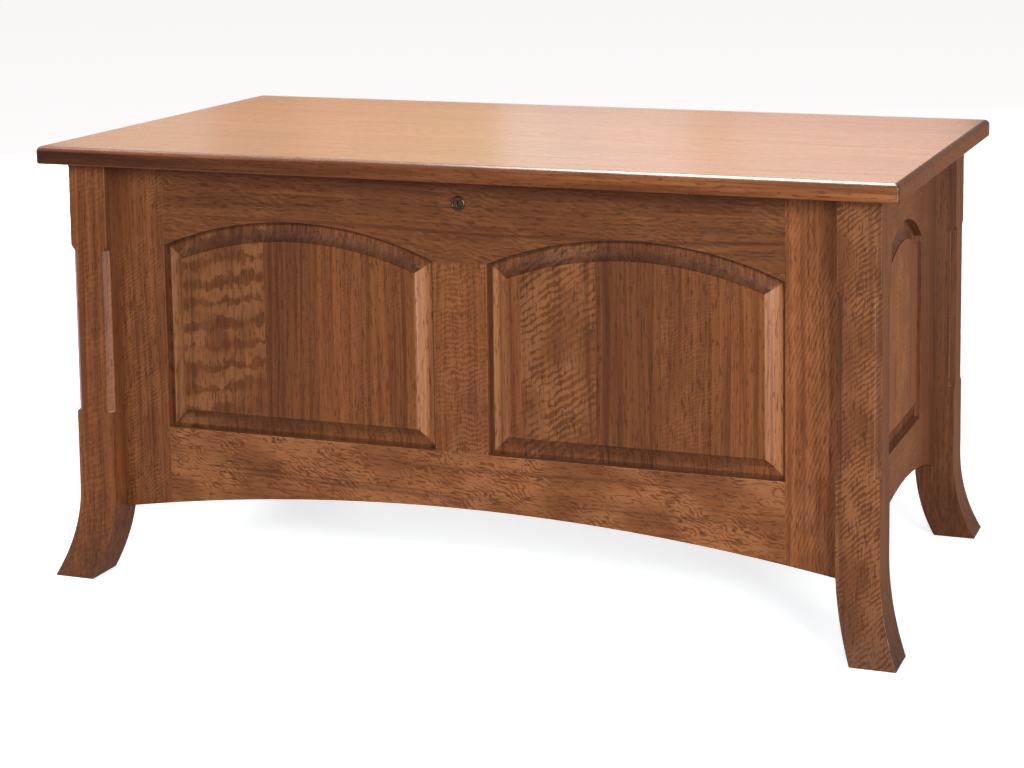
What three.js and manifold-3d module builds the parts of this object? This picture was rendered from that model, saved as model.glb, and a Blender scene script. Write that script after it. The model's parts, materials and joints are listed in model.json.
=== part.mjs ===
// Blanket chest in quartersawn oak: frame and raised panel walls between four legs with flared feet,
// an overhanging lid on three butt hinges, two lid supports and a round cam lock.
// Millimetres. +X is to the chest's right as seen from the front, +Y to its back and +Z up.
// The origin is on the floor, under the middle of the lid.
import * as THREE from 'three';
import { mergeVertices } from 'three/addons/utils/BufferGeometryUtils.js';
import Module from 'manifold-3d';

const wasm = await Module();
wasm.setup();

// Driving dimensions

// Overall
const chestHeight = 620;
const lidWidth = 1219;
const lidDepth = 655;

// Lid
const lidThickness = 25;
const lidTopRound = 7;
const lidBottomEase = 2.5;
const lidCornerRound = 3;
const lidSeatGap = 0.3;
const overhangSide = 28;
const overhangFront = 35;
const overhangBack = 55;

// Legs
const legSize = 58;
const footSize = 61;
const footFlare = 28;
const flareHeight = 125;
const chamferDepth = 8;
const chamferFoot = 236;
const ledgeSlope = 0.35;
const chamferDrop = 118.7;

// Frames of the four walls; drops are measured down from the top of the walls
const frameThickness = 20;
const frameRecess = 30;
const glueLine = 0.05;
const grooveDepth = 10;
const tongueLength = 9;
const tongueThickness = 5;
const tongueSlack = 0.3;
const tenonRoot = 2;
const panelBottom = 215.5;
const panelDrop = 75.7;
const panelRise = 42;

// Front wall
const frontStileWidth = 73.5;
const frontMullionWidth = 78.5;
const frontArchMiddle = 137.5;
const frontArchEnd = 93;

// Side walls
const sideStileWidth = 102.5;
const sideArchMiddle = 152;
const sideArchEnd = 114;

// Back wall, straight and flat
const backBottomEdge = 100;
const backPanelDrop = 99.7;

// Raised panels
const fieldDepth = 1;
const fieldStep = 1.5;
const marginDepth = 10;
const marginWidth = 5;
const coveWidth = 22;

// Bottom
const cleatSize = 20;
const cleatLift = 2;
const boardThickness = 12;
const boardGap = 1;

// Hinges
const hingeInset = 50;
const hingeLength = 76;
const leafThickness = 2;
const leafWidth = 18.5;
const knuckleRadius = 4;
const knuckleStandoff = 0.5;
const knuckleGap = 0.4;
const hingePinRadius = 1.8;
const hingeTipRadius = 3;
const hingeTipLength = 4;
const mortiseGap = 0.3;

// Lid supports: each is a parallelogram of housing, crank, link and lid bracket
const crankForward = 100;
const crankDrop = 14;
const supportLegGap = 2.5;
const supportDrop = 150;
const barWidth = 16;
const crankThickness = 3;
const linkThickness = 2.5;
const housingPlateWidth = 34;
const housingPlateHeight = 64;
const housingPlateThickness = 3;
const drumRadius = 15;
const drumThickness = 8;
const studRadius = 4;
const pivotRadius = 3;
const bracketLength = 56;
const bracketReach = 24;
const bracketThickness = 2.5;

// Lock
const lockDrop = 37.2;
const bezelRadius = 10;
const bezelThickness = 2.5;
const bezelRound = 1;
const lockBodyRadius = 8.5;
const plugRadius = 6.2;
const plugRecess = 0.8;
const stubRadius = 3.2;
const stubLength = 4;
const keywayWidth = 1.6;
const keywayHeight = 8;
const keywayDepth = 9;
const lockBodyLength = 28.5;
const nutRadius = 14;
const nutThickness = 4;
const camLength = 34;
const camWidth = 12;
const camThickness = 2.5;
const camLipGap = 1;
const strikeStart = 18;
const strikeWidth = 16;
const strikeThickness = 2;
const strikeFlange = 26;
const strikeBehindCam = 5;
const lipReach = 9;

// Working clearance between separate pieces, and how far a cutter runs past what it cuts
const clearance = 0.3;
const overrun = 2;

// Facet counts
const archSteps = 36;
const lowerArchSteps = 32;
const coveSteps = 6;
const roundSteps = 5;
const flareSteps = 12;
const barSteps = 10;
const turnSteps = 28;

// Places that follow from the dimensions

const lidBottom = chestHeight - lidThickness;
const bodyTop = lidBottom - lidSeatGap;
const legOuterX = lidWidth / 2 - overhangSide;
const legInnerX = legOuterX - legSize;
const legFrontY = -lidDepth / 2 + overhangFront;
const legBackY = lidDepth / 2 - overhangBack;
const sideHalf = (legBackY - legFrontY) / 2 - legSize;
const sideMiddleY = (legBackY + legFrontY) / 2;
const frontFaceY = legFrontY + frameRecess;
const sideFaceX = legOuterX - frameRecess;
const frontInsideY = frontFaceY + frameThickness;
const sideInsideX = sideFaceX - frameThickness;
const backInsideY = legBackY - frameThickness;
const hingeY = legBackY + knuckleRadius + knuckleStandoff;
const hingeZ = lidBottom - lidSeatGap / 2;
const hingeSpacing = legInnerX - frontStileWidth - hingeInset;
const panelPeak = bodyTop - panelDrop;
const panelCorner = panelPeak - panelRise;
const backPanelTop = bodyTop - backPanelDrop;
const chamferHead = bodyTop - chamferDrop;
const lockHeight = bodyTop - lockDrop;

// Materials

const finish = (color, roughness, metalness) =>
  new THREE.MeshStandardMaterial({ color, roughness, metalness });
const materials = {
  oak: finish(0x8a4f2c, 0.4, 0),
  panelOak: finish(0x935430, 0.4, 0),
  lidOak: finish(0xa66a44, 0.3, 0),
  cedar: finish(0xb9794e, 0.6, 0),
  brass: finish(0x8d7a52, 0.35, 0.9),
  steel: finish(0x9a9a96, 0.35, 0.9),
  blackSteel: finish(0x2c2824, 0.45, 0.8),
  lockMetal: finish(0x3b3832, 0.35, 0.9),
};

// Geometry helpers

// A closed solid for joining and cutting, from a geometry with position only
function toSolid(geometry) {
  const bare = geometry.clone();
  bare.deleteAttribute('normal');
  bare.deleteAttribute('uv');
  const merged = mergeVertices(bare);
  const vertProperties = new Float32Array(merged.attributes.position.array);
  const triVerts = new Uint32Array(merged.index.array);
  return new wasm.Manifold(new wasm.Mesh({ numProp: 3, vertProperties, triVerts }));
}

function toGeometry(solid) {
  const { vertProperties, triVerts } = solid.getMesh();
  const geometry = new THREE.BufferGeometry();
  geometry.setAttribute('position', new THREE.BufferAttribute(vertProperties, 3));
  geometry.setIndex(new THREE.BufferAttribute(triVerts, 1));
  const flat = geometry.toNonIndexed();
  flat.computeVertexNormals();
  return flat;
}

const cut = (geometry, ...cutters) =>
  toGeometry(cutters.reduce((rest, cutter) => rest.subtract(toSolid(cutter)), toSolid(geometry)));
const join = (geometry, ...others) =>
  toGeometry(others.reduce((rest, other) => rest.add(toSolid(other)), toSolid(geometry)));

// A box between two corners
function block([x0, y0, z0], [x1, y1, z1]) {
  const geometry = new THREE.BoxGeometry(x1 - x0, y1 - y0, z1 - z0);
  return geometry.translate((x0 + x1) / 2, (y0 + y1) / 2, (z0 + z1) / 2);
}

// An outline of [across, up] points, made solid from depth v0 to depth v1 behind the wall's face
function slab(outline, v0, v1) {
  const shape = new THREE.Shape(outline.map(([u, w]) => new THREE.Vector2(u, w)));
  const geometry = new THREE.ExtrudeGeometry(shape, { depth: v1 - v0, bevelEnabled: false });
  return geometry.rotateX(Math.PI / 2).translate(0, v1, 0);
}

// A solid through closed rings of equal count, with a flat cap at each end
function loft(rings) {
  const count = rings[0].length;
  const positions = rings.flat(2);
  const index = [];
  for (let ring = 0; ring + 1 < rings.length; ring += 1) {
    for (let i = 0; i < count; i += 1) {
      const next = (i + 1) % count;
      const [a, b] = [ring * count + i, ring * count + next];
      const [c, d] = [a + count, b + count];
      index.push(a, b, d, a, d, c);
    }
  }
  const last = (rings.length - 1) * count;
  for (let i = 1; i + 1 < count; i += 1) {
    index.push(0, i + 1, i);
    index.push(last, last + i, last + i + 1);
  }
  const geometry = new THREE.BufferGeometry();
  geometry.setAttribute('position', new THREE.Float32BufferAttribute(positions, 3));
  geometry.setIndex(index);
  return geometry;
}

// A round rod along X, from x0 to x1
function rodX(radius, x0, x1, y, z) {
  const geometry = new THREE.CylinderGeometry(radius, radius, x1 - x0, turnSteps);
  return geometry.rotateZ(Math.PI / 2).translate((x0 + x1) / 2, y, z);
}

// A turned piece about the lock's axis, from [radius, y] points that run from front to back on its outside
function turnedY(profile) {
  const points = profile.map(([radius, y]) => new THREE.Vector2(radius, y));
  return new THREE.LatheGeometry(points, turnSteps).translate(0, 0, lockHeight);
}

function mesh(name, geometry, material) {
  const part = new THREE.Mesh(geometry, materials[material]);
  part.name = name;
  return part;
}

// Walls

// Height of a wall's arched lower edge at a distance from its middle
function lowerEdge(wall, u) {
  const rise = wall.archMiddle - wall.archEnd;
  if (rise === 0) return wall.archMiddle;
  const radius = (wall.half ** 2 + rise ** 2) / (2 * rise);
  return wall.archMiddle - radius + Math.sqrt(radius ** 2 - u ** 2);
}

// Points of the lower edge from u0 to u1
function lowerPoints(wall, u0, u1) {
  const steps = Math.max(1, Math.ceil((lowerArchSteps * Math.abs(u1 - u0)) / (2 * wall.half)));
  return Array.from({ length: steps + 1 }, (_, i) => {
    const u = u0 + ((u1 - u0) * i) / steps;
    return [u, lowerEdge(wall, u)];
  });
}

// The panel opening, grown by an offset: bottom left, bottom right, then the arch from right to left
function panelOutline(opening, offset) {
  const { middle, half, bottom, corner, peak } = opening;
  const rise = peak - corner;
  const reach = half + offset;
  const low = bottom - offset;
  const feet = [[middle - reach, low], [middle + reach, low]];
  if (rise === 0) return [...feet, [middle + reach, corner + offset], [middle - reach, corner + offset]];
  const radius = (half ** 2 + rise ** 2) / (2 * rise);
  const centre = peak - radius;
  const angle = Math.asin(reach / (radius + offset));
  const arch = Array.from({ length: archSteps + 1 }, (_, i) => {
    const turn = angle * (1 - (2 * i) / archSteps);
    return [middle + (radius + offset) * Math.sin(turn), centre + (radius + offset) * Math.cos(turn)];
  });
  return [...feet, ...arch];
}

const grooveFront = marginDepth - tongueSlack;
const grooveBack = marginDepth + tongueThickness + tongueSlack;
const tongueBack = marginDepth + tongueThickness;

// A box in the groove's layer, wide enough to cut a groove
const grooveBox = (u0, u1, w0, w1) => block([u0, grooveFront, w0], [u1, grooveBack, w1]);
// A box in the tongue's layer, for the stub tenons
const tenonBox = (u0, u1, w0, w1) => block([u0, marginDepth, w0], [u1, tongueBack, w1]);

// One stile, on the side that sign gives
function stile(wall, sign) {
  const inner = wall.half - wall.stileWidth;
  const outer = wall.half - glueLine;
  const outline = [...lowerPoints(wall, inner, outer), [outer, bodyTop], [inner, bodyTop]];
  const placed = sign > 0 ? outline : outline.map(([u, w]) => [-u, w]).reverse();
  const across = [sign * (inner - overrun), sign * (inner + grooveDepth)];
  const groove = grooveBox(Math.min(...across), Math.max(...across), -overrun, bodyTop + overrun);
  return cut(slab(placed, 0, frameThickness), groove);
}

function bottomRail(wall) {
  const end = wall.half - wall.stileWidth - glueLine;
  const outline = [...lowerPoints(wall, -end, end), [end, wall.panelBottom], [-end, wall.panelBottom]];
  const reach = end + tongueLength;
  const root = end - tenonRoot;
  const tenonFoot = lowerEdge(wall, root);
  const blank = join(
    slab(outline, 0, frameThickness),
    tenonBox(-reach, -root, tenonFoot, wall.panelBottom),
    tenonBox(root, reach, tenonFoot, wall.panelBottom),
  );
  const groove = grooveBox(-reach - overrun, reach + overrun, wall.panelBottom - grooveDepth,
    wall.panelBottom + overrun);
  return cut(blank, groove);
}

function topRail(wall) {
  const end = wall.half - wall.stileWidth - glueLine;
  const reach = end + tongueLength;
  const blank = join(
    block([-end, 0, wall.panelCorner], [end, frameThickness, bodyTop]),
    tenonBox(-reach, reach, wall.panelCorner, bodyTop),
  );
  const openings = wall.openings.flatMap((opening) => [
    slab(panelOutline(opening, 0), -overrun, frameThickness + overrun),
    slab(panelOutline(opening, grooveDepth), grooveFront, grooveBack),
  ]);
  const spans = [[-reach - overrun, -end], [end, reach + overrun]];
  if (wall.mullionWidth > 0) spans.push([-wall.mullionWidth / 2, wall.mullionWidth / 2]);
  const grooves = spans.map(([u0, u1]) =>
    grooveBox(u0, u1, wall.panelCorner - overrun, wall.panelCorner + grooveDepth));
  return cut(blank, ...openings, ...grooves);
}

function mullion(wall) {
  const half = wall.mullionWidth / 2;
  const [foot, head] = [wall.panelBottom + glueLine, wall.panelCorner - glueLine];
  const [low, high] = [foot - tongueLength, head + tongueLength];
  const bar = block([-half, 0, foot], [half, frameThickness, head]);
  const blank = join(bar, tenonBox(-half, half, low, high));
  return cut(
    blank,
    grooveBox(-half - overrun, -half + grooveDepth, low - overrun, high + overrun),
    grooveBox(half - grooveDepth, half + overrun, low - overrun, high + overrun),
  );
}

// A raised panel: tongue, flat margin, hollow cove, small step and field
function raisedPanel(opening) {
  const edge = marginDepth - fieldDepth - fieldStep;
  const radius = (coveWidth ** 2 + edge ** 2) / (2 * edge);
  const stations = [[tongueLength, tongueBack], [tongueLength, marginDepth]];
  for (let i = 0; i <= coveSteps; i += 1) {
    const s = (coveWidth * i) / coveSteps;
    stations.push([-marginWidth - s, marginDepth - radius + Math.sqrt(radius ** 2 - s ** 2)]);
  }
  stations.push([-marginWidth - coveWidth, fieldDepth]);
  return loft(stations.map(([offset, v]) => panelOutline(opening, offset).map(([u, w]) => [u, v, w])));
}

const flatPanel = (opening) => slab(panelOutline(opening, tongueLength), marginDepth, tongueBack);

// The pieces of one wall, placed by a quarter turn and a shift
function buildWall(wall, names) {
  const group = new THREE.Group();
  group.add(
    mesh(names.stiles[0], stile(wall, -1), 'oak'),
    mesh(names.stiles[1], stile(wall, 1), 'oak'),
    mesh(names.topRail, wall.trimTopRail(topRail(wall)), 'oak'),
    mesh(names.bottomRail, bottomRail(wall), 'oak'),
  );
  if (wall.mullionWidth > 0) group.add(mesh(names.mullion, mullion(wall), 'oak'));
  wall.openings.forEach((opening, i) => {
    const geometry = wall.raised ? raisedPanel(opening) : flatPanel(opening);
    group.add(mesh(names.panels[i], geometry, 'panelOak'));
  });
  group.rotation.z = (wall.quarterTurns * Math.PI) / 2;
  group.position.set(...wall.shift, 0);
  return group;
}

// The openings between stiles of one wall, for one panel or for two beside a mullion
function openingsOf({ half, stileWidth, mullionWidth }, heights) {
  const outer = half - stileWidth;
  if (mullionWidth === 0) return [{ middle: 0, half: outer, ...heights }];
  const width = outer - mullionWidth / 2;
  const middle = mullionWidth / 2 + width / 2;
  return [-middle, middle].map((place) => ({ middle: place, half: width / 2, ...heights }));
}

const archedHeights = { bottom: panelBottom, corner: panelCorner, peak: panelPeak };
const straightHeights = { bottom: panelBottom, corner: backPanelTop, peak: backPanelTop };

const lockHole = new THREE.CylinderGeometry(
  lockBodyRadius + clearance,
  lockBodyRadius + clearance,
  frameThickness + 2 * overrun,
  turnSteps,
).translate(0, frameThickness / 2, lockHeight);

// Hinge places along X, as seen from the front
const hingePlaces = { left: -hingeSpacing, middle: 0, right: hingeSpacing };

// The leaf mortises in the back wall's top rail, in that wall's own turned frame
const railMortises = Object.values(hingePlaces).map((x) => block(
  [-x - hingeLength / 2 - mortiseGap, -overrun, bodyTop - leafThickness - mortiseGap],
  [-x + hingeLength / 2 + mortiseGap, leafWidth + mortiseGap, bodyTop + overrun],
));

const frontSize = { half: legInnerX, stileWidth: frontStileWidth, mullionWidth: frontMullionWidth };
const sideSize = { half: sideHalf, stileWidth: sideStileWidth, mullionWidth: 0 };

const frontWall = {
  ...frontSize,
  raised: true,
  archMiddle: frontArchMiddle,
  archEnd: frontArchEnd,
  panelBottom,
  panelCorner,
  openings: openingsOf(frontSize, archedHeights),
  trimTopRail: (rail) => cut(rail, lockHole),
  quarterTurns: 0,
  shift: [0, frontFaceY],
};
const sideWall = {
  ...sideSize,
  raised: true,
  archMiddle: sideArchMiddle,
  archEnd: sideArchEnd,
  panelBottom,
  panelCorner,
  openings: openingsOf(sideSize, archedHeights),
  trimTopRail: (rail) => rail,
};
const rightWall = { ...sideWall, quarterTurns: 1, shift: [sideFaceX, sideMiddleY] };
const leftWall = { ...sideWall, quarterTurns: -1, shift: [-sideFaceX, sideMiddleY] };
const backWall = {
  ...frontSize,
  raised: false,
  archMiddle: backBottomEdge,
  archEnd: backBottomEdge,
  panelBottom,
  panelCorner: backPanelTop,
  openings: openingsOf(frontSize, straightHeights),
  trimTopRail: (rail) => cut(rail, ...railMortises),
  quarterTurns: 2,
  shift: [0, legBackY],
};

// The names of a wall's pieces, with its first and second side along its own across direction
function wallNames(wall, first, second) {
  return {
    stiles: [`${wall}_stile_${first}`, `${wall}_stile_${second}`],
    topRail: `${wall}_top_rail`,
    bottomRail: `${wall}_bottom_rail`,
    mullion: `${wall}_mullion`,
    panels: first === 'left' || first === 'right'
      ? [`${wall}_panel_${first}`, `${wall}_panel_${second}`]
      : [`${wall}_panel`],
  };
}

// Legs

// How far the foot's curve has moved out at a height, for a curve that ends at the given reach
function flareAt(height, reach) {
  if (height >= flareHeight) return 0;
  const radius = (flareHeight ** 2 + reach ** 2) / (2 * reach);
  return radius - Math.sqrt(radius ** 2 - (flareHeight - height) ** 2);
}

// A stopped chamfer's cutter on a vertical edge: sloped ledge at its foot, steeper run-out at its head
function chamferCutter(x, y, inX, inY) {
  const far = chamferDepth + overrun;
  const corners = [[-overrun, -overrun], [far, -overrun], [-overrun, far]];
  if (inX * inY < 0) corners.reverse();
  const ring = (heightOf) => corners.map(([dx, dy]) => [x + inX * dx, y + inY * dy, heightOf(dx + dy)]);
  return loft([ring((inward) => chamferFoot + inward * ledgeSlope), ring((inward) => chamferHead - inward)]);
}

// One leg with its outer corner at the given side of X and Y
function leg(signX, signY, chamferedCorners) {
  const [outerX, outerY] = [signX * legOuterX, signY < 0 ? legFrontY : legBackY];
  const section = (height) => {
    const out = flareAt(height, footFlare);
    const inner = flareAt(height, footFlare - (footSize - legSize));
    const [x0, x1] = [outerX + signX * out, outerX - signX * (legSize - inner)];
    const [y0, y1] = [outerY + signY * out, outerY - signY * (legSize - inner)];
    const ring = [[x0, y0, height], [x1, y0, height], [x1, y1, height], [x0, y1, height]];
    return signX * signY > 0 ? ring : [...ring].reverse();
  };
  const heights = Array.from({ length: flareSteps + 1 }, (_, i) => (flareHeight * i) / flareSteps);
  const blank = loft([...heights, bodyTop].map(section));
  const cutters = chamferedCorners.map(([atX, atY]) => chamferCutter(
    outerX - signX * legSize * atX,
    outerY - signY * legSize * atY,
    atX === 0 ? -signX : signX,
    atY === 0 ? -signY : signY,
  ));
  return cut(blank, ...cutters);
}

// Corners of a leg as [0 or 1 across, 0 or 1 along], with 0 at its outer faces
const outerCorner = [0, 0];
const besideFrontWall = [1, 0];
const besideSideWall = [0, 1];

function buildLegs() {
  const group = new THREE.Group();
  for (const [side, signX] of [['left', -1], ['right', 1]]) {
    const front = leg(signX, -1, [outerCorner, besideFrontWall, besideSideWall]);
    const rear = leg(signX, 1, [outerCorner, besideSideWall]);
    group.add(mesh(`leg_front_${side}`, front, 'oak'), mesh(`leg_rear_${side}`, rear, 'oak'));
  }
  return group;
}

// Bottom: a board on four cleats, notched round the legs

function buildBottom() {
  const group = new THREE.Group();
  const cleatFoot = Math.max(frontArchMiddle, sideArchMiddle) + cleatLift;
  const cleatTop = cleatFoot + cleatSize;
  const endX = legInnerX - glueLine;
  const cleat = (name, x0, x1, y0, y1) =>
    mesh(name, block([x0, y0, cleatFoot], [x1, y1, cleatTop]), 'oak');
  const front = frontInsideY + glueLine;
  const back = backInsideY - glueLine;
  const side = sideInsideX - glueLine;
  const sideFront = front + cleatSize + glueLine;
  const sideBack = Math.min(legBackY - legSize, back - cleatSize) - glueLine;
  group.add(
    cleat('cleat_front', -endX, endX, front, front + cleatSize),
    cleat('cleat_back', -endX, endX, back - cleatSize, back),
    cleat('cleat_left', -side, -side + cleatSize, sideFront, sideBack),
    cleat('cleat_right', side - cleatSize, side, sideFront, sideBack),
  );
  const x = sideInsideX - boardGap;
  const [y0, y1] = [frontInsideY + boardGap, backInsideY - boardGap];
  const boardFoot = cleatTop + glueLine;
  const boardTop = boardFoot + boardThickness;
  const notches = [-1, 1].flatMap((sign) => {
    const across = [sign * (legInnerX - boardGap), sign * legOuterX];
    const [x0, x1] = [Math.min(...across), Math.max(...across)];
    return [
      block([x0, legFrontY, boardFoot - overrun], [x1, legFrontY + legSize + boardGap, boardTop + overrun]),
      block([x0, legBackY - legSize - boardGap, boardFoot - overrun], [x1, legBackY, boardTop + overrun]),
    ];
  });
  const board = cut(block([-x, y0, boardFoot], [x, y1, boardTop]), ...notches);
  group.add(mesh('bottom_board', board, 'cedar'));
  return group;
}

// Lid

// A rectangle with rounded corners, centred on the origin, at a height
function roundedRing(halfX, halfY, radius, z) {
  const ring = [];
  const corners = [[1, -1, -1], [1, 1, 0], [-1, 1, 1], [-1, -1, 2]];
  for (const [signX, signY, quarter] of corners) {
    for (let i = 0; i <= roundSteps; i += 1) {
      const angle = ((quarter + i / roundSteps) * Math.PI) / 2;
      const x = signX * (halfX - radius) + radius * Math.cos(angle);
      const y = signY * (halfY - radius) + radius * Math.sin(angle);
      ring.push([x, y, z]);
    }
  }
  return ring;
}

function lidGeometry() {
  const stations = [];
  for (let i = 0; i <= roundSteps; i += 1) {
    const angle = ((i / roundSteps) * Math.PI) / 2;
    const [inset, rise] = [1 - Math.sin(angle), 1 - Math.cos(angle)];
    stations.push([lidBottomEase * inset, lidBottom + lidBottomEase * rise]);
  }
  for (let i = 0; i <= roundSteps; i += 1) {
    const angle = ((i / roundSteps) * Math.PI) / 2;
    const [inset, drop] = [1 - Math.cos(angle), 1 - Math.sin(angle)];
    stations.push([lidTopRound * inset, chestHeight - lidTopRound * drop]);
  }
  const blank = loft(stations.map(([inset, z]) =>
    roundedRing(lidWidth / 2 - inset, lidDepth / 2 - inset, lidCornerRound, z)));
  const leafBack = hingeY - knuckleRadius - knuckleGap;
  const tipEnd = hingeLength / 2 + hingeTipLength + mortiseGap;
  const knuckleHalf = knuckleRadius + knuckleGap;
  const mortises = Object.values(hingePlaces).flatMap((x) => [
    block(
      [x - hingeLength / 2 - mortiseGap, legBackY - leafWidth - mortiseGap, lidBottom - overrun],
      [x + hingeLength / 2 + mortiseGap, leafBack, lidBottom + leafThickness + mortiseGap],
    ),
    block(
      [x - tipEnd, leafBack - knuckleStandoff, lidBottom - overrun],
      [x + tipEnd, hingeY + knuckleHalf, hingeZ + knuckleHalf],
    ),
  ]);
  return cut(blank, ...mortises);
}

// Hinges: three knuckles each, the middle one on the lid's leaf

function hingeLeaf(x, onLid) {
  const third = hingeLength / 3;
  const leafBack = hingeY - knuckleRadius - knuckleGap;
  const leafFront = legBackY - leafWidth;
  const [z0, z1] = onLid ? [lidBottom, lidBottom + leafThickness] : [bodyTop - leafThickness, bodyTop];
  const spans = onLid
    ? [[-third / 2 + knuckleGap / 2, third / 2 - knuckleGap / 2]]
    : [[-hingeLength / 2, -third / 2 - knuckleGap / 2], [third / 2 + knuckleGap / 2, hingeLength / 2]];
  const plate = block([x - hingeLength / 2, leafFront, z0], [x + hingeLength / 2, leafBack, z1]);
  const knuckles = spans.flatMap(([a, b]) => [
    block([x + a, leafBack - leafThickness, z0], [x + b, hingeY, z1]),
    rodX(knuckleRadius, x + a, x + b, hingeY, hingeZ),
  ]);
  const bore = rodX(hingePinRadius + clearance, x - hingeLength, x + hingeLength, hingeY, hingeZ);
  return cut(join(plate, ...knuckles), bore);
}

function hingePin(x) {
  const end = hingeLength / 2;
  const reach = end + hingeTipLength / 2;
  const rod = rodX(hingePinRadius, x - reach, x + reach, hingeY, hingeZ);
  const tips = [-1, 1].map((sign) => {
    const [a, b] = [x + sign * (end + clearance), x + sign * (end + hingeTipLength)];
    return rodX(hingeTipRadius, Math.min(a, b), Math.max(a, b), hingeY, hingeZ);
  });
  return join(rod, ...tips);
}

function buildHinges() {
  const group = new THREE.Group();
  for (const [place, x] of Object.entries(hingePlaces)) {
    group.add(
      mesh(`hinge_${place}_body_leaf`, hingeLeaf(x, false), 'brass'),
      mesh(`hinge_${place}_lid_leaf`, hingeLeaf(x, true), 'brass'),
      mesh(`hinge_${place}_pin`, hingePin(x), 'brass'),
    );
  }
  return group;
}

// Lid supports

const supportPivotY = legBackY - legSize - supportLegGap - housingPlateWidth / 2;
const supportPivot = [supportPivotY, hingeZ - supportDrop];
const lidPivot = [hingeY - crankForward, hingeZ - crankDrop];
const elbowPivot = [supportPivot[0] - crankForward, supportPivot[1] - crankDrop];

// The layers of a support, as distances in from the side wall's inner face
const drumInner = housingPlateThickness + drumThickness;
const crankOuter = drumInner + clearance;
const crankInner = crankOuter + crankThickness;
const linkOuter = crankInner + clearance;
const linkInner = linkOuter + linkThickness;
const pivotInner = linkInner + clearance;

// Layers from a to b in from the wall, as ordered X values on the side that sign gives
function layer(sign, a, b) {
  const [xa, xb] = [sign * (sideInsideX - a), sign * (sideInsideX - b)];
  return [Math.min(xa, xb), Math.max(xa, xb)];
}

// A flat bar with round ends between two pivots, in the layers x0 to x1
function bar([ya, za], [yb, zb], [x0, x1]) {
  const direction = Math.atan2(zb - za, yb - ya);
  const ends = [[yb, zb, -Math.PI / 2], [ya, za, Math.PI / 2]];
  const outline = ends.flatMap(([y, z, start]) => Array.from({ length: barSteps + 1 }, (_, i) => {
    const angle = direction + start + (Math.PI * i) / barSteps;
    return [y + (barWidth / 2) * Math.cos(angle), z + (barWidth / 2) * Math.sin(angle)];
  }));
  return loft([outline.map(([y, z]) => [x0, y, z]), outline.map(([y, z]) => [x1, y, z])]);
}

const pivotHole = (radius, [y, z], [x0, x1]) => rodX(radius + clearance, x0 - overrun, x1 + overrun, y, z);

function buildSupport(side, sign) {
  const group = new THREE.Group();
  const [py, pz] = supportPivot;
  const [ly, lz] = lidPivot;
  const crankLayer = layer(sign, crankOuter, crankInner);
  const linkLayer = layer(sign, linkOuter, linkInner);
  const plateLayer = layer(sign, glueLine, housingPlateThickness);
  const plate = block(
    [plateLayer[0], py - housingPlateWidth / 2, pz - housingPlateHeight / 2],
    [plateLayer[1], py + housingPlateWidth / 2, pz + housingPlateHeight / 2],
  );
  const drum = rodX(drumRadius, ...layer(sign, glueLine, drumInner), py, pz);
  const stud = rodX(studRadius, ...layer(sign, glueLine, crankInner + clearance), py, pz);
  const crankBar = cut(
    bar(supportPivot, elbowPivot, crankLayer),
    pivotHole(studRadius, supportPivot, crankLayer),
  );
  const elbowPin = rodX(pivotRadius, ...layer(sign, crankOuter, pivotInner), ...elbowPivot);
  const linkBar = cut(
    bar(elbowPivot, lidPivot, linkLayer),
    pivotHole(pivotRadius, elbowPivot, linkLayer),
    pivotHole(pivotRadius, lidPivot, linkLayer),
  );
  const flangeLayer = layer(sign, crankOuter, crankOuter + bracketReach);
  const flange = block(
    [flangeLayer[0], ly - bracketLength / 2, lidBottom - glueLine - bracketThickness],
    [flangeLayer[1], ly + bracketLength / 2, lidBottom - glueLine],
  );
  const tab = block(
    [crankLayer[0], ly - barWidth / 2, lz - barWidth / 2],
    [crankLayer[1], ly + barWidth / 2, lidBottom - glueLine],
  );
  const lidPin = rodX(pivotRadius, ...layer(sign, crankOuter, pivotInner), ly, lz);
  group.add(
    mesh(`support_${side}_housing`, join(plate, drum, stud), 'blackSteel'),
    mesh(`support_${side}_crank`, join(crankBar, elbowPin), 'steel'),
    mesh(`support_${side}_link`, linkBar, 'steel'),
    mesh(`support_${side}_lid_bracket`, join(flange, tab, lidPin), 'blackSteel'),
  );
  return group;
}

// Lock: housing through the top rail, nut, turning plug with its cam, and the strike under the lid

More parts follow.
